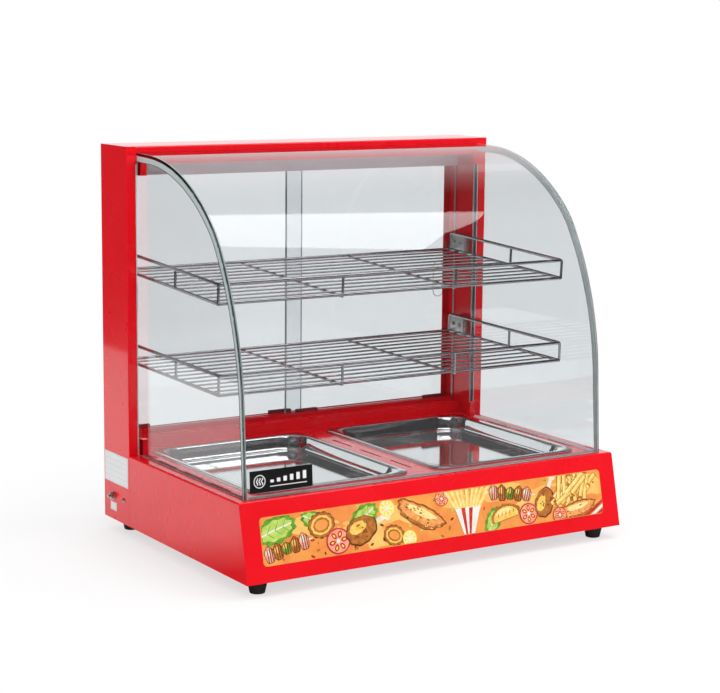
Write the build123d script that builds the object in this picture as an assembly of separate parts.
from build123d import *
import math
import os

# Curved-glass chip warmer: heated two-pan counter cabinet with two wire racks.
# Millimetres. +Z is up, +X is to the right of a person facing the curved front glass,
# which looks towards -Y. The origin is on the floor, at the centre of the footprint.

# ---- cabinet ------------------------------------------------------------------
WIDTH = 660.0
DEPTH = 460.0
HEIGHT = 600.0
SHEET = 1.2                 # folded steel of the housing
BEND_R = 2.5                # outer radius of the folds
FOOT_HEIGHT = 20.0
BASE_HEIGHT = 111.0         # from the floor panel to the deck
FRONT_LEAN = 25.0           # the base front leans back this far up to the deck
COLUMN_WIDTH = 15.0
COLUMN_DEPTH = 90.0
JAMB = 10.0                 # return of each column behind the doors
RAIL_FACE = 26.0            # front face of the top rail
RAIL_BACK = 48.0            # rear face of the top rail
SILL_DEPTH = 50.0
SILL_RISE = 17.0
SEAT_GAP = 0.3              # between a loose piece and what carries it
CUT = 1.0                   # cutting tools reach this far past a face
FLANGE_START = 24.0         # floor flanges begin this far behind the front

# ---- glazing ------------------------------------------------------------------
GLASS = 5.0
GLASS_SETBACK = 10.2        # foot of the front glass behind the edge of the deck
GLASS_HEADING = 3.2         # degrees from vertical at the foot
GLASS_LOW_R = 468.0         # the three bends from the foot to the top
GLASS_MIDDLE_R = 143.0
GLASS_HIGH_R = 295.0
GLASS_TURNS = (28.5, 13.1, 42.7)    # degrees of each bend
GLASS_BACK_RUN = 43.0       # flat length behind the bends
GLASS_HEAD = 8.8            # glass meets the columns this far below the top
PANE_INSET = 1.5            # side panes stand this far inside the cabin wall line
PANE_GAP = 3.3              # silicone joint between the front glass and the side panes
PANE_LEAN = 0.8             # degrees more lean than the front glass
PANE_TAIL = 8.0             # side panes run on this far behind the column faces
CLEAT = 10.0                # square section of the pane cleats
CLEAT_LOW = 25.0
CLEAT_HIGH = 22.0
CLEAT_LAP = 5.0             # upper cleats lap the face of the top rail
BEAD = 3.0                  # silicone bead along the foot of the panes

# ---- pans, shallow half-size gastronorm: 265 wide and 325 long in this cabinet ----
PAN_SIDE_GAP = 28.0         # between rim and cabin wall line
PAN_BRIDGE = 44.0           # between the two rims
PAN_FRONT_GAP = 19.3        # between rim and front glass
PAN_BACK_GAP = 25.5         # between rim and sill
PAN_DEPTH = 20.0
PAN_SHEET = 0.8
PAN_RIM = 11.0
PAN_CORNER = 18.0
PAN_WELL_CORNER = 38.0
PAN_TAPER = 4.0
PAN_FLOOR_R = 8.0
PAN_CUT_PLAY = 2.5          # around the pan wall in the deck

# ---- warm-air slots in the deck -------------------------------------------------
SLOT_WIDTH = 4.0
SLOT_LENGTH = 58.0
SLOT_SPREAD = 0.258         # pitch as a share of the pan length
SLOT_COUNT = 3
SLOT_SIDE = 13.0            # outer rows inside the cabin wall line
SLOT_SHIFT = 16.0           # rows ahead of the middle of the pans

# ---- heating chamber ------------------------------------------------------------
TRAY_SHEET = 1.0
TRAY_SIDE_GAP = 10.0        # inside the cabin wall line
TRAY_FRONT_GAP = 26.0       # behind the front edge of the deck
TRAY_BACK_GAP = 19.0        # ahead of the sill
TRAY_FLANGE = 9.0
TRAY_CLEAR = 20.0           # above the floor panel
ELEMENT_D = 8.0
ELEMENT_LIFT = 9.0          # axis above the tray floor
ELEMENT_INNER_X = 30.0
ELEMENT_SIDE_GAP = 65.0     # outer, front and rear legs from the tray walls
ELEMENT_FRONT_GAP = 54.0
ELEMENT_BACK_GAP = 61.0
ELEMENT_BEND = 28.0
ELEMENT_TAIL = 24.0         # cold end beyond the tray
CLAMP_WIDTH = 14.0
CLAMP_WALL = 1.5
CLAMP_INSET = 100.0         # from the outer legs
GLAND_NUT = 16.0            # across flats
GLAND_NUT_THICK = 6.0
BULB_D = 6.0
BULB_LENGTH = 90.0
BULB_X = -80.0
BULB_BACK_GAP = 31.0        # from the rear wall of the tray
CAPILLARY_X = -60.0
CAPILLARY_D = 3.0

# ---- racks ----------------------------------------------------------------------
RACK_SIDE_GAP = 13.0        # between side wires and cabin wall line
RACK_FRONT_GAP = 92.4       # front wire behind the foot line of the glass
RACK_BACK_GAP = 30.0        # rear wire ahead of the back
RACK_DROP = 28.0            # grid below the rim
RACK_UPPER_GAP = 163.5      # upper rim below the top, at the back
RACK_LOWER_GAP = 166.0      # lower rim above the deck, at the back
RACK_LEANS = (3.0, 1.2)     # degrees down to the front
RIM_WIRE = 5.0
GRID_WIRE = 3.0
CROSS_WIRE = 4.0
WELD = 0.6                  # crossing wires sink into each other
GRID_PITCH = 24.0
SIDE_STRUT_Y = -170.0       # from the back of the rack
WIRE_BEND = 5.0
PLATE_LENGTH = 42.0
PLATE_SHEET = 1.2
RACK_SCREW_D = 4.0
RACK_SCREW_HEAD = 8.0
RACK_SCREW_PITCH = 17.0
RACK_SCREW_GRIP = 6.0       # beyond the cabin side of the column

# ---- sliding doors ----------------------------------------------------------------
DOOR_INNER_GAP = 23.0       # middle of the inner track ahead of the back
DOOR_OUTER_GAP = 10.0
DOOR_LAP = 36.0
DOOR_SIDE_GAP = 1.5
TRACK_WALL = 1.5
TRACK_SLOT = 8.0
TRACK_LIP = 7.0
TRACK_HOOD = 46.0
DOOR_HEAD = 14.0            # door enters the upper track this far
RUNNER_LENGTH = 40.0
RUNNER_FOOT = 1.2
RUNNER_HEIGHT = 10.0
RUNNER_WALL = 1.2
THUMB_LENGTH = 60.0
THUMB_WIDTH = 20.0
THUMB_DEPTH = 1.5
THUMB_INSET = 32.0

# ---- controls on the rear panel ------------------------------------------------------
CONTROL_RISE = 68.0         # controls above the floor panel
KNOB_INSET = 100.0          # from the cabin wall line
KNOB_D = 38.0
KNOB_HEIGHT = 17.0
KNOB_GRIP = 10.0            # width of the grip bar
KNOB_MARGIN = 5.0           # grip bar shorter than the disc
KNOB_TAPER = 3.0
KNOB_EDGE_R = 1.0
KNOB_GAP = 0.8
SHAFT_D = 6.0
SHAFT_FIT = 0.05
THERMOSTAT = (34.0, 24.0, 40.0)
DIAL_D = 62.0
DIAL_THICK = 0.8
SWITCH_XS = (-120.0, -70.0)
SWITCH_CUT = (22.0, 30.0)
SWITCH_BEZEL = 2.5
SWITCH_LIP = 2.0
SWITCH_BODY = 20.0
ROCKER_PLAY = 0.4
ROCKER_PIN = 3.0
ROCKER_SWING = 9.0
LAMP_XS = (-20.0, 15.0)
LAMP_D = 12.0
LAMP_FLANGE = 15.0
LAMP_LENGTH = 26.0
LAMP_DOME = 4.0
LAMP_DOME_R = 2.0
GLAND_INSET = 60.0          # from the cabin wall line
GLAND_RISE = 38.0
GLAND_BORE = 9.0
GLAND_D = 20.0
GLAND_BODY = 24.0
GLAND_FLATS = 25.0
GLAND_FLANGE = 6.0
GLAND_NOSE_R = 3.0
TERMINAL = (54.0, 22.0, 18.0)
TERMINAL_INSET = 145.0
TERMINAL_RISE = 20.0
TERMINAL_BORE = 7.0
TERMINAL_PITCH = 18.0
PANEL_LAP = 12.0
PANEL_RECESS = 26.0         # the control panel lies this far inside the back
PANEL_SCREW_INSET = 30.0
VENT_COUNT = 7
VENT_PITCH = 9.0
VENT_INSET = 165.0
FLOOR_VENT_PITCH = 18.0

# ---- lamp under the top rail -----------------------------------------------------------
TUBE_D = 12.0
TUBE_INSET = 65.0           # ends inside the cabin wall line
HOLDER = (16.0, 18.0, 8.5)  # beyond the tube, width, tube axis below the reflector
HOLDER_LAP = 4.0            # socket laps the end of the tube
REFLECTOR_WIDTH = 44.0
REFLECTOR_SHEET = 0.8
TUBE_SET = 26.0             # axis behind the front of the columns

# ---- small parts ----------------------------------------------------------------------
FOOT_D = 30.0
FOOT_TAPER = 4.0
FOOT_SIDE_GAP = 31.0        # middle of a foot inside the outline
FOOT_FRONT_GAP = 27.0
FOOT_BACK_GAP = 31.0
SCREW_D = 4.0
SCREW_HEAD = 7.5
SCREW_HEAD_H = 2.2
STUD_D = 6.0
STUD_BACK_GAP = 32.0
STUD_RISE = 37.0
STUD_LENGTH = 9.0
FIXING_SET = 20.0           # behind the front of the columns
NUT_FLATS = 10.0
NUT_THICK = 4.0
WASHER_D = 14.0
PLATE_T = 0.5
RATING = (82.0, 47.0, 82.0, 45.0)      # length, height, rise, set behind the column face
STICKER = (21.0, 13.0, 21.0, 56.0)
PRINT_T = 0.3
PRINT = (29.0, 68.0, 55.0)             # side margin, height along the slope, middle rise
PRINT_CORNER = 6.0
BADGE = (101.0, 31.0, 24.0, 74.5)      # width, height, middle above the deck, side inset

# ---- derived lines ------------------------------------------------------------------------
SIDE_X = WIDTH / 2
BACK_Y = DEPTH / 2
FRONT_Y = -DEPTH / 2
DECK_Z = FOOT_HEIGHT + BASE_HEIGHT
DECK_FRONT = FRONT_Y + FRONT_LEAN
LEAN = math.degrees(math.atan2(FRONT_LEAN, BASE_HEIGHT))
BAY_X = SIDE_X - COLUMN_WIDTH
COLUMN_Y = BACK_Y - COLUMN_DEPTH
SILL_Y = BACK_Y - SILL_DEPTH
SILL_Z = DECK_Z + SILL_RISE
REAR_OUT = BACK_Y - PANEL_RECESS
REAR_IN = REAR_OUT - SHEET
FLOOR_Z = FOOT_HEIGHT + SHEET
PANE_X = BAY_X - PANE_INSET - GLASS / 2
PANE_OUT = PANE_X + GLASS / 2
GLASS_FOOT = DECK_FRONT + GLASS_SETBACK
TRAY_Z = FOOT_HEIGHT + TRAY_CLEAR
TRAY_TOP = DECK_Z - SHEET
TRAY_WIDTH = 2 * (BAY_X - TRAY_SIDE_GAP)
TRAY_FRONT = DECK_FRONT + TRAY_FRONT_GAP
TRAY_BACK = SILL_Y - TRAY_BACK_GAP
ELEMENT_Z = TRAY_Z + TRAY_SHEET + ELEMENT_LIFT
ELEMENT_Y = (TRAY_FRONT + ELEMENT_FRONT_GAP, TRAY_BACK - ELEMENT_BACK_GAP)
BULB_Y = TRAY_BACK - BULB_BACK_GAP
ELEMENT_X = (ELEMENT_INNER_X, BAY_X - TRAY_SIDE_GAP - ELEMENT_SIDE_GAP)
CLAMP_X = ELEMENT_X[1] - CLAMP_INSET
PAN_WIDTH = BAY_X - PAN_SIDE_GAP - PAN_BRIDGE / 2
PAN_X = (PAN_BRIDGE + PAN_WIDTH) / 2
PAN_XS = (-PAN_X, PAN_X)
PAN_START = GLASS_FOOT + GLASS + PAN_FRONT_GAP
PAN_LENGTH = SILL_Y - PAN_BACK_GAP - PAN_START
PAN_Y = PAN_START + PAN_LENGTH / 2
SLOT_PITCH = SLOT_SPREAD * PAN_LENGTH
SLOT_SIDE_X = BAY_X - SLOT_SIDE
SLOT_Y = PAN_Y - SLOT_SHIFT
RACK_HALF = BAY_X - RACK_SIDE_GAP
RACK_BACK = BACK_Y - RACK_BACK_GAP
RACK_DEPTH = RACK_BACK - GLASS_FOOT - RACK_FRONT_GAP
RACK_HEIGHTS = (HEIGHT - RACK_UPPER_GAP, DECK_Z + RACK_LOWER_GAP)
CROSS_X = RACK_HALF / 3
DOOR_PLANES = (BACK_Y - DOOR_INNER_GAP, BACK_Y - DOOR_OUTER_GAP)
CONTROL_Z = FOOT_HEIGHT + CONTROL_RISE
KNOB_X = KNOB_INSET - BAY_X
GLAND_X = BAY_X - GLAND_INSET
GLAND_Z = FOOT_HEIGHT + GLAND_RISE
TERMINAL_X = BAY_X - TERMINAL_INSET
TERMINAL_Z = FOOT_HEIGHT + TERMINAL_RISE
VENT_X = BAY_X - VENT_INSET
TUBE_LENGTH = 2 * (BAY_X - TUBE_INSET)
TUBE_Y = COLUMN_Y + TUBE_SET
STUD_Y = BACK_Y - STUD_BACK_GAP
STUD_Z = FOOT_HEIGHT + STUD_RISE
FIXING_Y = COLUMN_Y + FIXING_SET
RAIL_Z = HEIGHT - RAIL_FACE
HOOD_Z = HEIGHT - RAIL_BACK
DOOR_FOOT = SILL_Z + TRACK_WALL + SEAT_GAP + RUNNER_FOOT
DOOR_TOP = HOOD_Z + DOOR_HEAD
DOOR_EDGE = BAY_X - DOOR_SIDE_GAP


def box(x0, x1, y0, y1, z0, z1):
    """Box between two corners."""
    size = (x1 - x0, y1 - y0, z1 - z0)
    return Pos((x0 + x1) / 2, (y0 + y1) / 2, (z0 + z1) / 2) * Box(*size)


def rod(start, end, radius):
    """Round bar between two points."""
    a, b = Vector(*start), Vector(*end)
    axis = b - a
    return Plane(origin=a, z_dir=axis) * extrude(Circle(radius), axis.length)


def pair(make):
    """A piece and its mirror image across the middle of the cabinet."""
    right = make()
    return [right, right.mirror(Plane.YZ)]


def group(pieces):
    """Separate solids kept together in one node."""
    solids = []
    for piece in pieces:
        solids.extend(piece.solids())
    return Compound(children=solids)


def side_profile(inset, back):
    """Outline of the base across its depth, drawn in the YZ plane."""
    slope = math.radians(LEAN)
    step = inset / math.cos(slope)
    top = DECK_Z - inset
    front_top = FRONT_Y + step + (top - FOOT_HEIGHT) * math.tan(slope)
    outline = Polyline(
        (FRONT_Y + step, FOOT_HEIGHT),
        (front_top, top),
        (back, top),
        (back, FOOT_HEIGHT),
        close=True,
    )
    return Plane.YZ * make_face(outline)


def slot_centres():
    """Middle of each warm-air slot, three rows across the deck."""
    centres = []
    for x in (-SLOT_SIDE_X, 0.0, SLOT_SIDE_X):
        for index in range(SLOT_COUNT):
            shift = (index - (SLOT_COUNT - 1) / 2) * SLOT_PITCH
            centres.append((x, SLOT_Y + shift))
    return centres


def foot_places():
    """Floor positions of the four feet."""
    x = SIDE_X - FOOT_SIDE_GAP
    ys = (FRONT_Y + FOOT_FRONT_GAP, BACK_Y - FOOT_BACK_GAP)
    return [(side * x, y) for side in (-1, 1) for y in ys]


def pan_wall(grow):
    """Rounded opening around the wall of one pan at the rim."""
    width = PAN_WIDTH - 2 * PAN_RIM + 2 * grow
    length = PAN_LENGTH - 2 * PAN_RIM + 2 * grow
    return RectangleRounded(width, length, PAN_WELL_CORNER + grow)


def base_shell():
    """Folded front, sides and deck, with openings for the pans and the warm air."""
    outer = extrude(side_profile(0.0, COLUMN_Y), SIDE_X, both=True)
    folds = outer.edges().filter_by(Axis.X).sort_by(Axis.Z)[-2:]
    folds = ShapeList(folds).sort_by(Axis.Y)[:1]
    folds += outer.edges().filter_by(Axis.Y).sort_by(Axis.Z)[-2:]
    outer = fillet(folds, BEND_R)
    inner = extrude(side_profile(SHEET, COLUMN_Y), SIDE_X - SHEET, both=True)
    folds = inner.edges().filter_by(Axis.X).sort_by(Axis.Z)[-2:]
    folds = ShapeList(folds).sort_by(Axis.Y)[:1]
    folds += inner.edges().filter_by(Axis.Y).sort_by(Axis.Z)[-2:]
    inner = fillet(folds, BEND_R - SHEET)
    shell = outer - inner
    shell += box(-BAY_X, BAY_X, COLUMN_Y - SHEET, SILL_Y, DECK_Z - SHEET, DECK_Z)
    for x in PAN_XS:
        cut = Pos(x, PAN_Y, DECK_Z) * extrude(pan_wall(PAN_CUT_PLAY), SHEET, both=True)
        shell -= cut
    for x, y in slot_centres():
        slot = SlotOverall(SLOT_LENGTH, SLOT_WIDTH, rotation=90)
        shell -= Pos(x, y, DECK_Z) * extrude(slot, SHEET, both=True)
    return shell


def floor_panel():
    """Flat closing panel with upturned side flanges and cooling slots."""
    x = SIDE_X - SHEET
    panel = box(-x, x, FRONT_Y + 2 * SHEET, COLUMN_Y, FOOT_HEIGHT, FLOOR_Z)
    panel += box(-BAY_X, BAY_X, COLUMN_Y, BACK_Y, FOOT_HEIGHT, FLOOR_Z)
    for sx in (-1, 1):
        edge = sorted((sx * x, sx * (x - SHEET)))
        panel += box(*edge, FRONT_Y + FLANGE_START, COLUMN_Y, FOOT_HEIGHT, FOOT_HEIGHT + PANEL_LAP)
    for index in range(VENT_COUNT):
        x = (index - (VENT_COUNT - 1) / 2) * FLOOR_VENT_PITCH
        slot = SlotOverall(SLOT_LENGTH, SLOT_WIDTH, rotation=90)
        panel -= Pos(x, 0, FOOT_HEIGHT) * extrude(slot, 2 * SHEET, both=True)
    for x, y in foot_places():
        panel -= rod((x, y, FOOT_HEIGHT - CUT), (x, y, FLOOR_Z + CUT), SCREW_D / 2)
    return panel


def rack_place(level):
    """Frame of one rack: its rim at the back, leaning a little to the front."""
    return Location((0, RACK_BACK, RACK_HEIGHTS[level]), (RACK_LEANS[level], 0, 0))


def rack_screw_places():
    """Positions of the rack screws in the frame of a rack."""
    middle = -PLATE_LENGTH / 2
    spots = []
    for shift in (-RACK_SCREW_PITCH / 2, RACK_SCREW_PITCH / 2):
        spots.append((middle + shift, -RACK_DROP / 2))
    return spots


def column(side):
    """Hollow corner column with the return behind the doors."""
    x0, x1 = sorted((side * BAY_X, side * SIDE_X))
    post = box(x0, x1, COLUMN_Y, BACK_Y, FOOT_HEIGHT, HEIGHT)
    edges = post.edges().filter_by(Axis.Z).sort_by(lambda e: side * e.center().X)[-2:]
    post = fillet(edges, SHEET)
    post -= box(
        x0 + SHEET, x1 - SHEET,
        COLUMN_Y + SHEET, BACK_Y - SHEET,
        FOOT_HEIGHT - CUT, HEIGHT - SHEET,
    )
    lip = sorted((side * BAY_X, side * (BAY_X - JAMB)))
    post += box(*lip, BACK_Y - SHEET, BACK_Y, SILL_Z, HOOD_Z)
    for level in range(len(RACK_HEIGHTS)):
        for y, z in rack_screw_places():
            inside, within = side * (BAY_X - CUT), side * (BAY_X + SHEET + CUT)
            hole = rod((inside, y, z), (within, y, z), RACK_SCREW_D / 2)
            post -= rack_place(level) * hole
    for y, diameter in ((STUD_Y, STUD_D), (FIXING_Y, SCREW_D)):
        ends = ((side * (SIDE_X - 2 * SHEET), y, STUD_Z), (side * (SIDE_X + CUT), y, STUD_Z))
        post -= rod(*ends, diameter / 2)
    return post


def top_rail():
    """Folded channel across the top, open below for the lamp and the door track."""
    rail = box(-BAY_X, BAY_X, COLUMN_Y, BACK_Y, HOOD_Z, HEIGHT)
    edges = rail.edges().filter_by(Axis.X).sort_by(Axis.Z)[-2:]
    rail = fillet(edges, BEND_R)
    rail -= box(-BAY_X, BAY_X, COLUMN_Y + SHEET, BACK_Y - SHEET, HOOD_Z, HEIGHT - SHEET)
    rail -= box(-BAY_X, BAY_X, COLUMN_Y, COLUMN_Y + SHEET, HOOD_Z, RAIL_Z)
    return rail


def sill():
    """Upstand behind the deck that carries the lower door track and the rear panel."""
    part = box(-BAY_X, BAY_X, SILL_Y, SILL_Y + SHEET, TRAY_TOP - PANEL_LAP, SILL_Z)
    part += box(-BAY_X, BAY_X, SILL_Y, BACK_Y, SILL_Z - SHEET, SILL_Z)
    for y in (REAR_IN, BACK_Y):
        part += box(-BAY_X, BAY_X, y - SHEET, y, SILL_Z - PANEL_LAP, SILL_Z)
    for x, z in panel_screw_places():
        part -= rod((x, REAR_IN - 2 * SHEET, z), (x, REAR_IN, z), SCREW_D / 2)
    return part


def panel_screw_places():
    """Screws along the top edge of the rear panel."""
    z = SILL_Z - SHEET - PANEL_LAP / 2
    reach = BAY_X - PANEL_SCREW_INSET
    return [(share * reach, z) for share in (-1, -1 / 3, 1 / 3, 1)]


def rear_panel():
    """Rear closing panel with the openings for the controls and the cooling louvres."""
    panel = box(-BAY_X, BAY_X, REAR_IN, REAR_OUT, FLOOR_Z, SILL_Z - SHEET)
    back, front = REAR_OUT + CUT, REAR_IN - CUT
    panel -= rod((KNOB_X, front, CONTROL_Z), (KNOB_X, back, CONTROL_Z), SHAFT_D)
    for x in SWITCH_XS:
        w, h = SWITCH_CUT
        panel -= box(x - w / 2, x + w / 2, front, back, CONTROL_Z - h / 2, CONTROL_Z + h / 2)
    for x in LAMP_XS:
        panel -= rod((x, front, CONTROL_Z), (x, back, CONTROL_Z), LAMP_D / 2)
    panel -= rod((GLAND_X, front, GLAND_Z), (GLAND_X, back, GLAND_Z), GLAND_D / 2)
    for x, z in panel_screw_places():
        panel -= rod((x, front, z), (x, back, z), SCREW_D / 2)
    for index in range(VENT_COUNT):
        z = CONTROL_Z + (index - (VENT_COUNT - 1) / 2) * VENT_PITCH
        slot = Plane.XZ * SlotOverall(SLOT_LENGTH, SLOT_WIDTH)
        panel -= Pos(VENT_X, REAR_OUT, z) * extrude(slot, 2 * SHEET, both=True)
    return panel


def glass_bends():
    """Radius and degrees of each bend of the front glass."""
    return list(zip((GLASS_LOW_R, GLASS_MIDDLE_R, GLASS_HIGH_R), GLASS_TURNS))


def glass_fit():
    """Flat run at the foot, and share of the bend radii, that reach the top of the columns."""
    turn = math.radians(GLASS_HEADING)
    foot = Vector(math.sin(turn), math.cos(turn))
    bends = Vector(0, 0)
    for radius, angle in glass_bends():
        after = turn + math.radians(angle)
        step = Vector(math.cos(turn) - math.cos(after), math.sin(after) - math.sin(turn))
        bends += step * radius
        turn = after
    reach = Vector(COLUMN_Y - GLASS_FOOT, HEIGHT - GLASS_HEAD - DECK_Z)
    reach -= Vector(math.sin(turn), math.cos(turn)) * GLASS_BACK_RUN
    across = foot.cross(bends).Z
    return reach.cross(bends).Z / across, foot.cross(reach).Z / across


def glass_curve(inset, lean, end):
    """Foot-to-top line of the curved glass at a depth below its outer face."""
    foot_run, share = glass_fit()
    heading = math.radians(GLASS_HEADING + lean)
    y = GLASS_FOOT + inset / math.cos(heading)
    z = DECK_Z
    run = foot_run - inset * math.tan(heading)
    step = Vector(run * math.sin(heading), run * math.cos(heading))
    edges = [Line((y, z), (y + step.X, z + step.Y))]
    y, z = y + step.X, z + step.Y
    for radius, angle in glass_bends():
        r = share * radius - inset
        centre = (y + r * math.cos(heading), z - r * math.sin(heading))
        spots = []
        for part in (0.5, 1.0):
            turn = heading + part * math.radians(angle)
            spots.append((centre[0] - r * math.cos(turn), centre[1] + r * math.sin(turn)))
        edges.append(ThreePointArc((y, z), spots[0], spots[1]))
        heading += math.radians(angle)
        y, z = spots[1]
    top = z + (end - y) / math.tan(heading)
    edges.append(Line((y, z), (end, top)))
    return edges, (GLASS_FOOT + inset / math.cos(math.radians(GLASS_HEADING + lean)), DECK_Z), (end, top)


def front_glass():
    """Curved toughened front glass, standing on the deck and butting the top rail."""
    outer, outer_foot, outer_top = glass_curve(0.0, 0.0, COLUMN_Y)
    inner, inner_foot, inner_top = glass_curve(GLASS, 0.0, COLUMN_Y)
    closing = [Line(outer_foot, inner_foot), Line(outer_top, inner_top)]
    face = make_face(Wire(outer + inner + closing).edges())
    return extrude(Plane.YZ * face, PANE_OUT, both=True)


def side_glass(side):
    """Flat side pane behind the front glass, bonded to the inner face of the column."""
    curve, foot, top = glass_curve(GLASS + PANE_GAP, PANE_LEAN, COLUMN_Y)
    corner = (COLUMN_Y, DECK_Z)
    closing = [Line(top, corner), Line(corner, foot)]
    face = make_face(Wire(curve + closing).edges())
    pane = Pos(side * PANE_X, 0, 0) * extrude(Plane.YZ * face, GLASS / 2, both=True)
    x0, x1 = side * (PANE_X - GLASS / 2), side * PANE_OUT
    return pane + box(*sorted((x0, x1)), COLUMN_Y, COLUMN_Y + PANE_TAIL, DECK_Z, RAIL_Z - SHEET)


def glass_seam(side):
    """Silicone joints of one side pane, to the front glass and to the column."""
    outer, outer_foot, outer_top = glass_curve(GLASS, 0.0, COLUMN_Y)
    inner, inner_foot, inner_top = glass_curve(GLASS + PANE_GAP, PANE_LEAN, COLUMN_Y)
    closing = [Line(outer_foot, inner_foot), Line(outer_top, inner_top)]
    face = make_face(Wire(outer + inner + closing).edges())
    joint = Pos(side * PANE_X, 0, 0) * extrude(Plane.YZ * face, GLASS / 2, both=True)
    x0, x1 = sorted((side * PANE_OUT, side * BAY_X))
    strip = box(x0, x1, COLUMN_Y, COLUMN_Y + PANE_TAIL, DECK_Z, RAIL_Z - SHEET)
    return group([joint, strip])


def cleats():
    """Small square cleats that hold the rear corners of the side panes."""
    def low():
        x = PANE_X - GLASS / 2
        return box(x - CLEAT, x, COLUMN_Y - CLEAT, COLUMN_Y, DECK_Z, DECK_Z + CLEAT_LOW)

    def high():
        x = PANE_X - GLASS / 2
        top = RAIL_Z + CLEAT_LAP
        return box(x - CLEAT, x, COLUMN_Y - CLEAT, COLUMN_Y, top - CLEAT_HIGH, top)

    return group(pair(low) + pair(high))


def bead(side):
    """Silicone bead along the inner foot of one side pane."""
    x = side * (PANE_X - GLASS / 2)
    start = GLASS_FOOT + 2 * GLASS
    section = Polyline((x, DECK_Z), (x - side * BEAD, DECK_Z), (x, DECK_Z + BEAD), close=True)
    face = Plane.XZ * make_face(section)
    run = COLUMN_Y - CLEAT - start
    return Pos(0, COLUMN_Y - CLEAT, 0) * extrude(face, run)


def front_bead():
    """Silicone bead along the inner foot of the front glass."""
    slope = math.radians(GLASS_HEADING)
    y = GLASS_FOOT + GLASS / math.cos(slope)
    x = PANE_X - GLASS / 2 - BEAD
    rise = BEAD * math.tan(slope)
    section = Polyline((y, DECK_Z), (y + BEAD, DECK_Z), (y + rise, DECK_Z + BEAD), close=True)
    return extrude(Plane.YZ * make_face(section), x, both=True)


def pan(x):
    """Half-size stainless food pan with a turned rim."""
    top = DECK_Z + SEAT_GAP + PAN_SHEET
    outer = extrude(pan_wall(0.0), -PAN_DEPTH, taper=PAN_TAPER)
    inner = extrude(pan_wall(-PAN_SHEET), -(PAN_DEPTH - PAN_SHEET), taper=PAN_TAPER)
    outer = fillet(outer.faces().sort_by(Axis.Z)[0].edges(), PAN_FLOOR_R)
    inner = fillet(inner.faces().sort_by(Axis.Z)[0].edges(), PAN_FLOOR_R - PAN_SHEET)
    rim = extrude(RectangleRounded(PAN_WIDTH, PAN_LENGTH, PAN_CORNER), -PAN_SHEET)
    return Pos(x, PAN_Y, top) * (outer + rim - inner)


def heat_tray():
    """Open stainless chamber under the pans, hung by its flange below the deck."""
    x = TRAY_WIDTH / 2
    tray = box(-x, x, TRAY_FRONT, TRAY_BACK, TRAY_Z, TRAY_TOP)
    tray -= box(
        -x + TRAY_SHEET, x - TRAY_SHEET,
        TRAY_FRONT + TRAY_SHEET, TRAY_BACK - TRAY_SHEET,
        TRAY_Z + TRAY_SHEET, TRAY_TOP,
    )
    flange = box(
        -x - TRAY_FLANGE, x + TRAY_FLANGE,
        TRAY_FRONT - TRAY_FLANGE, TRAY_BACK + TRAY_FLANGE,
        TRAY_TOP - TRAY_SHEET, TRAY_TOP,
    )
    flange -= box(-x, x, TRAY_FRONT, TRAY_BACK, TRAY_TOP - TRAY_SHEET, TRAY_TOP)
    tray += flange
    for side in (-1, 1):
        x = side * ELEMENT_X[0]
        tray -= rod((x, 0, ELEMENT_Z), (x, TRAY_BACK + CUT, ELEMENT_Z), ELEMENT_D / 2)
    x = CAPILLARY_X
    return tray - rod((x, 0, ELEMENT_Z), (x, TRAY_BACK + CUT, ELEMENT_Z), CAPILLARY_D / 2)


def heating_element():
    """Tubular heating element looped under both pans."""
    inner, outer = ELEMENT_X
    front, back = ELEMENT_Y
    tail = TRAY_BACK + ELEMENT_TAIL
    plan = [
        (-inner, tail), (-inner, back), (-outer, back), (-outer, front),
        (outer, front), (outer, back), (inner, back), (inner, tail),
    ]
    points = [Vector(x, y, ELEMENT_Z) for x, y in plan]
    path = FilletPolyline(*points, radius=ELEMENT_BEND)
    section = Plane(origin=points[0], z_dir=(0, -1, 0)) * Circle(ELEMENT_D / 2)
    return sweep(section, path=path)


def element_clamps():
    """Saddle clamps that hold the element off the tray floor."""
    clamps = []
    reach = ELEMENT_D / 2 + CLAMP_WALL
    for x in (-CLAMP_X, CLAMP_X):
        for y in ELEMENT_Y:
            floor = TRAY_Z + TRAY_SHEET
            half = CLAMP_WIDTH / 2
            clamp = box(x - half, x + half, y - reach, y + reach, floor, ELEMENT_Z + reach)
            clamp -= rod((x - half, y, ELEMENT_Z), (x + half, y, ELEMENT_Z), ELEMENT_D / 2)
            clamps.append(clamp)
    return group(clamps)


def element_nuts():
    """Hexagon gland nuts where the element leaves the chamber."""
    nuts = []
    for side in (-1, 1):
        plane = Plane(origin=(side * ELEMENT_X[0], TRAY_BACK, ELEMENT_Z), z_dir=(0, 1, 0))
        hexagon = RegularPolygon(GLAND_NUT / 2, 6, major_radius=False)
        nuts.append(plane * extrude(hexagon - Circle(ELEMENT_D / 2), GLAND_NUT_THICK))
    return group(nuts)


def thermostat():
    """Thermostat body behind the rear panel, with the bushing for its shaft."""
    w, d, h = THERMOSTAT
    body = box(
        KNOB_X - w / 2, KNOB_X + w / 2, REAR_IN - d, REAR_IN,
        CONTROL_Z - h / 2, CONTROL_Z + h / 2,
    )
    axis = (KNOB_X, REAR_IN - d / 2, CONTROL_Z)
    body += rod(axis, (KNOB_X, REAR_OUT, CONTROL_Z), SHAFT_D)
    body -= rod(axis, (KNOB_X, REAR_OUT + CUT, CONTROL_Z), SHAFT_D / 2 + SHAFT_FIT)
    return body


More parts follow.
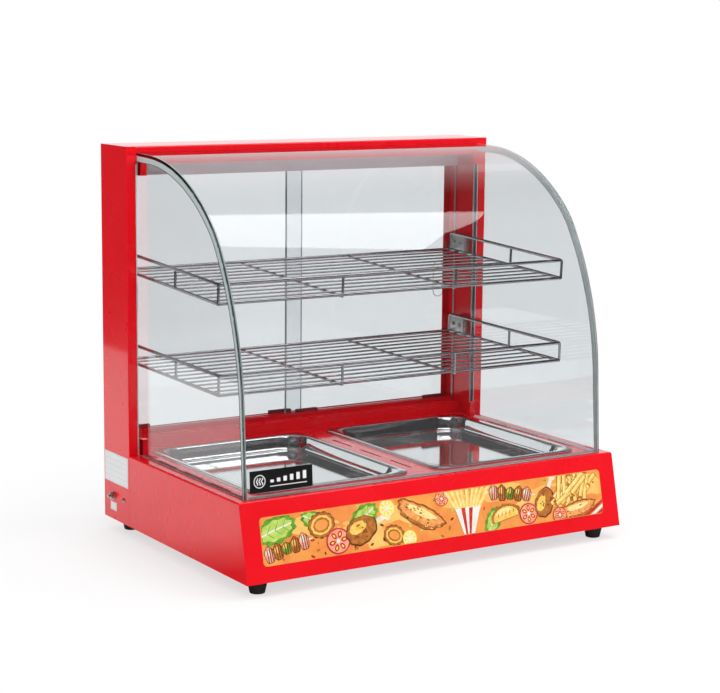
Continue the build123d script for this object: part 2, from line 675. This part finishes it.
def thermostat_bulb():
    """Sensing bulb in the chamber with its capillary to the thermostat."""
    behind = REAR_IN - THERMOSTAT[1] / 2
    bulb = rod((BULB_X - BULB_LENGTH, BULB_Y, ELEMENT_Z), (BULB_X, BULB_Y, ELEMENT_Z), BULB_D / 2)
    points = [
        Vector(BULB_X, BULB_Y, ELEMENT_Z),
        Vector(CAPILLARY_X, BULB_Y, ELEMENT_Z),
        Vector(CAPILLARY_X, behind, ELEMENT_Z),
        Vector(KNOB_X, behind, ELEMENT_Z),
        Vector(KNOB_X, behind, CONTROL_Z - THERMOSTAT[2] / 2),
    ]
    path = FilletPolyline(*points, radius=BULB_D)
    section = Plane(origin=points[0], z_dir=(1, 0, 0)) * Circle(CAPILLARY_D / 2)
    line = sweep(section, path=path)
    middle = BULB_X - BULB_LENGTH / 2
    saddle = box(
        middle - BULB_D, middle + BULB_D, BULB_Y - BULB_D, BULB_Y + BULB_D,
        TRAY_Z + TRAY_SHEET, ELEMENT_Z,
    )
    return bulb + line + saddle


def dial_plate():
    """Numbered ring behind the thermostat knob."""
    plane = Plane(origin=(KNOB_X, REAR_OUT, CONTROL_Z), z_dir=(0, 1, 0))
    return plane * extrude(Circle(DIAL_D / 2) - Circle(SHAFT_D), DIAL_THICK)


def knob_shaft():
    """Flat-ended spindle of the thermostat."""
    start = REAR_IN - THERMOSTAT[1] / 2 + SEAT_GAP
    end = REAR_OUT + DIAL_THICK + KNOB_GAP + KNOB_HEIGHT / 2
    return rod((KNOB_X, start, CONTROL_Z), (KNOB_X, end, CONTROL_Z), SHAFT_D / 2)


def thermostat_knob():
    """Round knob with a raised grip bar."""
    start = REAR_OUT + DIAL_THICK + KNOB_GAP
    plane = Plane(origin=(KNOB_X, start, CONTROL_Z), z_dir=(0, 1, 0))
    disc = extrude(Circle(KNOB_D / 2), KNOB_HEIGHT / 2, taper=KNOB_TAPER)
    disc = fillet(disc.faces().sort_by(Axis.Z)[-1].edges(), KNOB_EDGE_R)
    grip = extrude(SlotOverall(KNOB_D - KNOB_MARGIN, KNOB_GRIP), KNOB_HEIGHT)
    grip = fillet(grip.faces().sort_by(Axis.Z)[-1].edges(), KNOB_EDGE_R)
    bore = extrude(Circle(SHAFT_D / 2), KNOB_HEIGHT / 2)
    return plane * (disc + grip - bore)


def switch_housing(x):
    """Rocker switch body and bezel in its panel opening."""
    w, h = SWITCH_CUT
    lip_w, lip_h = w / 2 + SWITCH_LIP, h / 2 + SWITCH_LIP
    body = box(
        x - lip_w, x + lip_w, REAR_OUT, REAR_OUT + SWITCH_BEZEL,
        CONTROL_Z - lip_h, CONTROL_Z + lip_h,
    )
    body = fillet(body.edges().filter_by(Axis.Y), SWITCH_LIP)
    body += box(
        x - w / 2, x + w / 2, REAR_OUT - SWITCH_BODY, REAR_OUT,
        CONTROL_Z - h / 2, CONTROL_Z + h / 2,
    )
    wall = SWITCH_LIP
    body -= box(
        x - w / 2 + wall, x + w / 2 - wall, REAR_OUT - SWITCH_BODY / 2, REAR_OUT + SWITCH_BEZEL,
        CONTROL_Z - h / 2 + wall, CONTROL_Z + h / 2 - wall,
    )
    reach = w / 2 - wall + ROCKER_PIN / 2
    ends = ((x - reach, REAR_OUT, CONTROL_Z), (x + reach, REAR_OUT, CONTROL_Z))
    return body - rod(*ends, ROCKER_PIN / 2 + SHAFT_FIT)


def rocker(x):
    """Rocker of one switch, hung on two short trunnions and lying in its off position."""
    w = SWITCH_CUT[0] - 2 * SWITCH_LIP - 2 * ROCKER_PLAY
    h = SWITCH_CUT[1] - 2 * SWITCH_LIP
    swing = math.radians(ROCKER_SWING)
    half = h / 2 * math.cos(swing) - ROCKER_PLAY - SWITCH_BEZEL * math.sin(swing)
    proud = 2 * SWITCH_BEZEL
    face = make_face(Polyline(
        (-SWITCH_BEZEL, -half),
        (proud, -half),
        (SWITCH_BEZEL, 0),
        (proud, half),
        (-SWITCH_BEZEL, half),
        close=True,
    ))
    body = extrude(Plane.YZ * face, w / 2, both=True)
    reach = w / 2 + ROCKER_PLAY + ROCKER_PIN / 2 - SEAT_GAP
    body += rod((-reach, 0, 0), (reach, 0, 0), ROCKER_PIN / 2)
    return Pos(x, REAR_OUT, CONTROL_Z) * Rot(-ROCKER_SWING, 0, 0) * body


def pilot_lamps():
    """Round indicator lamps."""
    lamps = []
    for x in LAMP_XS:
        lamp = rod((x, REAR_OUT - LAMP_LENGTH, CONTROL_Z), (x, REAR_OUT, CONTROL_Z), LAMP_D / 2)
        dome = rod((x, REAR_OUT, CONTROL_Z), (x, REAR_OUT + LAMP_DOME, CONTROL_Z), LAMP_FLANGE / 2)
        dome = fillet(dome.faces().sort_by(Axis.Y)[-1].edges(), LAMP_DOME_R)
        lamps.append(lamp + dome)
    return group(lamps)


def cable_gland():
    """Strain-relief gland for the supply cable."""
    a = (GLAND_X, REAR_OUT - GLAND_BODY / 2, GLAND_Z)
    b = (GLAND_X, REAR_OUT + GLAND_BODY, GLAND_Z)
    body = rod(a, (GLAND_X, REAR_OUT, GLAND_Z), GLAND_D / 2)
    flange = Plane(origin=(GLAND_X, REAR_OUT, GLAND_Z), z_dir=(0, 1, 0))
    body += flange * extrude(RegularPolygon(GLAND_FLATS / 2, 6, major_radius=False), GLAND_FLANGE)
    body += rod((GLAND_X, REAR_OUT + GLAND_FLANGE, GLAND_Z), b, GLAND_D / 2)
    body = fillet(body.faces().sort_by(Axis.Y)[-1].edges(), GLAND_NOSE_R)
    return body - rod(a, b, GLAND_BORE / 2)


def terminal_block():
    """Supply terminal block on the inside of the rear panel."""
    w, d, h = TERMINAL
    block = box(
        TERMINAL_X - w / 2, TERMINAL_X + w / 2, REAR_IN - d, REAR_IN,
        TERMINAL_Z - h / 2, TERMINAL_Z + h / 2,
    )
    for index in (-1, 0, 1):
        x = TERMINAL_X + index * TERMINAL_PITCH
        ends = ((x, REAR_IN - d, TERMINAL_Z), (x, REAR_IN - d / 2, TERMINAL_Z))
        block -= rod(*ends, TERMINAL_BORE / 2)
    return block


def door_track_lower():
    """Low double channel that the doors run in."""
    inner, outer = DOOR_PLANES
    half = TRACK_SLOT / 2
    y0, y1 = inner - half - TRACK_WALL, outer + half + TRACK_WALL
    track = box(-BAY_X, BAY_X, y0, y1, SILL_Z, SILL_Z + TRACK_LIP)
    for y in DOOR_PLANES:
        track -= box(-BAY_X, BAY_X, y - half, y + half, SILL_Z + TRACK_WALL, SILL_Z + TRACK_LIP)
    return track


def door_track_upper():
    """Deep double channel hung inside the top rail."""
    inner, outer = DOOR_PLANES
    half = TRACK_SLOT / 2
    top = HEIGHT - SHEET
    y0, y1 = inner - half - TRACK_WALL, outer + half + TRACK_WALL
    track = box(-BAY_X, BAY_X, y0, y1, HOOD_Z, top)
    for y in DOOR_PLANES:
        track -= box(-BAY_X, BAY_X, y - half, y + half, HOOD_Z, HOOD_Z + TRACK_HOOD - 2 * TRACK_WALL)
    return track


def door_span(side):
    """Left and right edge of one door, closed."""
    return sorted((side * DOOR_EDGE, -side * DOOR_LAP / 2))


def door_plane(side):
    """The right door runs in the inner channel and the left door in the outer one."""
    return DOOR_PLANES[0] if side > 0 else DOOR_PLANES[1]


def door_glass(side):
    """Sliding glass door with a ground thumb recess at its outer edge."""
    x0, x1 = door_span(side)
    y = door_plane(side)
    pane = box(x0, x1, y - GLASS / 2, y + GLASS / 2, DOOR_FOOT, DOOR_TOP)
    middle = (DOOR_FOOT + DOOR_TOP) / 2
    slot = Plane.XZ * SlotOverall(THUMB_LENGTH, THUMB_WIDTH, rotation=90)
    cut = extrude(slot, THUMB_DEPTH)
    return pane - Pos(side * (DOOR_EDGE - THUMB_INSET), y + GLASS / 2, middle) * cut


def door_runners(side):
    """Two plastic shoes under one door."""
    x0, x1 = door_span(side)
    y = door_plane(side)
    shoes = []
    for x in (x0 + RUNNER_LENGTH, x1 - RUNNER_LENGTH):
        half = GLASS / 2 + RUNNER_WALL
        shoe = box(
            x - RUNNER_LENGTH / 2, x + RUNNER_LENGTH / 2, y - half, y + half,
            DOOR_FOOT - RUNNER_FOOT, DOOR_FOOT + RUNNER_HEIGHT - RUNNER_FOOT,
        )
        shoe -= box(
            x - RUNNER_LENGTH / 2, x + RUNNER_LENGTH / 2, y - GLASS / 2, y + GLASS / 2,
            DOOR_FOOT, DOOR_FOOT + RUNNER_HEIGHT,
        )
        shoes.append(shoe)
    return group(shoes)


def bent_wire(points, diameter, bend):
    """Wire bent through a list of points."""
    path = FilletPolyline(*[Vector(*p) for p in points], radius=bend)
    start = Vector(*points[0])
    section = Plane(origin=start, z_dir=Vector(*points[1]) - start) * Circle(diameter / 2)
    return sweep(section, path=path)


def rack(level):
    """Welded wire rack with a raised rim and two end brackets."""
    rim_r, grid_r, cross_r = RIM_WIRE / 2, GRID_WIRE / 2, CROSS_WIRE / 2
    x, front, drop = RACK_HALF, -RACK_DEPTH, -RACK_DROP
    wires = [bent_wire(
        [(-x, 0, drop), (-x, 0, 0), (-x, front, 0), (x, front, 0), (x, 0, 0), (x, 0, drop)],
        RIM_WIRE, WIRE_BEND,
    )]
    for side in (-1, 1):
        wires.append(rod((side * x, 0, drop), (side * x, front, drop), rim_r))
        wires.append(rod((side * x, SIDE_STRUT_Y, drop), (side * x, SIDE_STRUT_Y, 0), cross_r))
    for y in (0.0, front):
        wires.append(rod((-x, y, drop), (x, y, drop), rim_r))
    count = int(RACK_DEPTH // GRID_PITCH)
    for index in range(1, count):
        y = front * index / count
        wires.append(rod((-x, y, drop), (x, y, drop), grid_r))
    under = drop - grid_r - cross_r + WELD
    for cross in (-x, -CROSS_X, CROSS_X, x):
        wires.append(rod((cross, front, drop), (cross, front, 0), cross_r))
    for cross in (-CROSS_X, CROSS_X):
        wires.append(rod((cross, 0, under), (cross, front, under), cross_r))
    frame = wires[0].fuse(*wires[1:])
    high, low = -rim_r + WELD, drop + rim_r - WELD
    for side in (-1, 1):
        wall = PLATE_SHEET / 2
        face = sorted((side * (x - wall), side * (x + wall)))
        reach = sorted((side * (x - wall), side * BAY_X))
        plate = box(*face, -PLATE_LENGTH, 0, low, high)
        plate += box(*reach, -PLATE_LENGTH, PLATE_SHEET - PLATE_LENGTH, low, high)
        plate += box(*reach, -PLATE_SHEET, 0, low, high)
        for y, z in rack_screw_places():
            ends = ((side * (x - rim_r), y, z), (side * (x + rim_r), y, z))
            plate -= rod(*ends, RACK_SCREW_D / 2)
        frame += plate
    return rack_place(level) * frame


def rack_screws():
    """Pan-head screws through the rack brackets into the columns."""
    screws = []
    start = RACK_HALF - PLATE_SHEET / 2
    for level in range(len(RACK_HEIGHTS)):
        for side in (-1, 1):
            for y, z in rack_screw_places():
                shank = rod(
                    (side * start, y, z), (side * (BAY_X + RACK_SCREW_GRIP), y, z), RACK_SCREW_D / 2
                )
                head = rod(
                    (side * (start - SCREW_HEAD_H), y, z), (side * start, y, z), RACK_SCREW_HEAD / 2
                )
                screws.append(rack_place(level) * (shank + head))
    return group(screws)


def lamp_reflector():
    """Folded aluminium reflector under the top rail."""
    half = REFLECTOR_WIDTH / 2
    length = TUBE_LENGTH / 2 + 2 * HOLDER[0]
    top = HEIGHT - SHEET
    plate = box(-length, length, TUBE_Y - half, TUBE_Y + half, top - REFLECTOR_SHEET, top)
    for y in (TUBE_Y - half, TUBE_Y + half - REFLECTOR_SHEET):
        plate += box(-length, length, y, y + REFLECTOR_SHEET, top - HOLDER[2], top)
    return plate


def lamp_holders():
    """Sockets at both ends of the lamp tube."""
    def holder():
        x = TUBE_LENGTH / 2
        w, d, h = HOLDER
        top = HEIGHT - SHEET - REFLECTOR_SHEET
        foot = top - h - TUBE_D / 2
        body = box(x - HOLDER_LAP, x + w, TUBE_Y - d / 2, TUBE_Y + d / 2, foot, top)
        axis = top - h
        bore = rod((x - HOLDER_LAP, TUBE_Y, axis), (x, TUBE_Y, axis), TUBE_D / 2)
        return body - bore

    return group(pair(holder))


def lamp_tube():
    """Slim lamp tube."""
    axis = HEIGHT - SHEET - REFLECTOR_SHEET - HOLDER[2]
    half = TUBE_LENGTH / 2
    return rod((-half, TUBE_Y, axis), (half, TUBE_Y, axis), TUBE_D / 2)


def feet():
    """Tapered rubber feet, recessed for their screws."""
    pieces = []
    for x, y in foot_places():
        cone = Cone(FOOT_D / 2 - FOOT_TAPER, FOOT_D / 2, FOOT_HEIGHT)
        foot = Pos(x, y, FOOT_HEIGHT / 2) * cone
        foot -= rod((x, y, 0), (x, y, FOOT_HEIGHT), SCREW_D / 2)
        foot -= rod((x, y, 0), (x, y, FOOT_HEIGHT / 2), SCREW_HEAD / 2)
        pieces.append(foot)
    return group(pieces)


def foot_screws():
    """Screws that hold the feet to the floor panel."""
    pieces = []
    for x, y in foot_places():
        seat = FOOT_HEIGHT / 2
        shank = rod((x, y, seat), (x, y, FLOOR_Z + 2 * SHEET), SCREW_D / 2)
        head = rod((x, y, seat - SCREW_HEAD_H), (x, y, seat), SCREW_HEAD / 2)
        pieces.append(shank + head)
    return group(pieces)


def panel_screws():
    """Screws of the rear panel."""
    pieces = []
    for x, z in panel_screw_places():
        shank = rod((x, REAR_IN - SHEET, z), (x, REAR_OUT, z), SCREW_D / 2)
        head = rod((x, REAR_OUT, z), (x, REAR_OUT + SCREW_HEAD_H, z), SCREW_HEAD / 2)
        pieces.append(shank + head)
    return group(pieces)


def column_studs():
    """Threaded studs low on the outside of both columns."""
    def stud():
        ends = ((SIDE_X - 2 * SHEET, STUD_Y, STUD_Z), (SIDE_X + STUD_LENGTH, STUD_Y, STUD_Z))
        return rod(*ends, STUD_D / 2)

    return group(pair(stud))


def column_nuts():
    """Washer and hexagon nut on each stud."""
    pieces = []
    for side in (-1, 1):
        plane = Plane(origin=(side * SIDE_X, STUD_Y, STUD_Z), z_dir=(side, 0, 0))
        pieces.append(plane * extrude(Circle(WASHER_D / 2) - Circle(STUD_D / 2), SHEET))
        hexagon = RegularPolygon(NUT_FLATS / 2, 6, major_radius=False) - Circle(STUD_D / 2)
        pieces.append(plane.offset(SHEET) * extrude(hexagon, NUT_THICK))
    return group(pieces)


def column_screws():
    """Small screws beside the studs."""
    def screw():
        shank = rod((SIDE_X - 2 * SHEET, FIXING_Y, STUD_Z), (SIDE_X, FIXING_Y, STUD_Z), SCREW_D / 2)
        ends = ((SIDE_X, FIXING_Y, STUD_Z), (SIDE_X + SCREW_HEAD_H, FIXING_Y, STUD_Z))
        return shank + rod(*ends, SCREW_HEAD / 2)

    return group(pair(screw))


def flat_label(size):
    """Thin plate on the left column."""
    length, height, rise, set_back = size
    y, z = COLUMN_Y + set_back, FOOT_HEIGHT + rise
    return box(
        -SIDE_X - PLATE_T, -SIDE_X, y - length / 2, y + length / 2, z - height / 2, z + height / 2
    )


def front_print():
    """Printed film on the leaning front of the base."""
    margin, height, middle = PRINT
    slope = math.radians(LEAN)
    y = FRONT_Y + middle * math.tan(slope)
    plane = Plane(
        origin=(0, y, FOOT_HEIGHT + middle),
        x_dir=(1, 0, 0),
        z_dir=(0, -math.cos(slope), math.sin(slope)),
    )
    return plane * extrude(RectangleRounded(WIDTH - 2 * margin, height, PRINT_CORNER), PRINT_T)


def glass_badge():
    """Blank dark label at the lower left of the front glass."""
    width, height, middle, inset = BADGE
    slope = math.radians(GLASS_HEADING)
    y = GLASS_FOOT + middle * math.tan(slope)
    plane = Plane(
        origin=(inset - SIDE_X, y, DECK_Z + middle),
        x_dir=(1, 0, 0),
        z_dir=(0, -math.cos(slope), math.sin(slope)),
    )
    return plane * extrude(Rectangle(width, height), PRINT_T)


PARTS = {
    "base_shell": base_shell,
    "floor_panel": floor_panel,
    "rear_panel": rear_panel,
    "sill": sill,
    "column_left": lambda: column(-1),
    "column_right": lambda: column(1),
    "top_rail": top_rail,
    "front_glass": front_glass,
    "side_glass_left": lambda: side_glass(-1),
    "side_glass_right": lambda: side_glass(1),
    "glass_seam_left": lambda: glass_seam(-1),
    "glass_seam_right": lambda: glass_seam(1),
    "pane_cleats": cleats,
    "bead_left": lambda: bead(-1),
    "bead_right": lambda: bead(1),
    "bead_front": front_bead,
    "heat_tray": heat_tray,
    "heating_element": heating_element,
    "element_clamps": element_clamps,
    "element_nuts": element_nuts,
    "thermostat": thermostat,
    "thermostat_bulb": thermostat_bulb,
    "dial_plate": dial_plate,
    "knob_shaft": knob_shaft,
    "thermostat_knob": thermostat_knob,
    "heat_switch": lambda: switch_housing(SWITCH_XS[0]),
    "light_switch": lambda: switch_housing(SWITCH_XS[1]),
    "heat_rocker": lambda: rocker(SWITCH_XS[0]),
    "light_rocker": lambda: rocker(SWITCH_XS[1]),
    "pilot_lamps": pilot_lamps,
    "cable_gland": cable_gland,
    "terminal_block": terminal_block,
    "door_track_lower": door_track_lower,
    "door_track_upper": door_track_upper,
    "door_left_glass": lambda: door_glass(-1),
    "door_right_glass": lambda: door_glass(1),
    "door_left_runners": lambda: door_runners(-1),
    "door_right_runners": lambda: door_runners(1),
    "rack_upper": lambda: rack(0),
    "rack_lower": lambda: rack(1),
    "rack_screws": rack_screws,
    "pan_left": lambda: pan(PAN_XS[0]),
    "pan_right": lambda: pan(PAN_XS[1]),
    "lamp_reflector": lamp_reflector,
    "lamp_holders": lamp_holders,
    "lamp_tube": lamp_tube,
    "feet": feet,
    "foot_screws": foot_screws,
    "panel_screws": panel_screws,
    "column_studs": column_studs,
    "column_nuts": column_nuts,
    "column_screws": column_screws,
    "rating_plate": lambda: flat_label(RATING),
    "side_sticker": lambda: flat_label(STICKER),
    "front_print": front_print,
    "glass_badge": glass_badge,
}


def main():
    """Write one STEP file for each piece."""
    os.makedirs("parts", exist_ok=True)
    for name, make in PARTS.items():
        export_step(make(), f"parts/{name}.step")


if __name__ == "__main__":
    main()
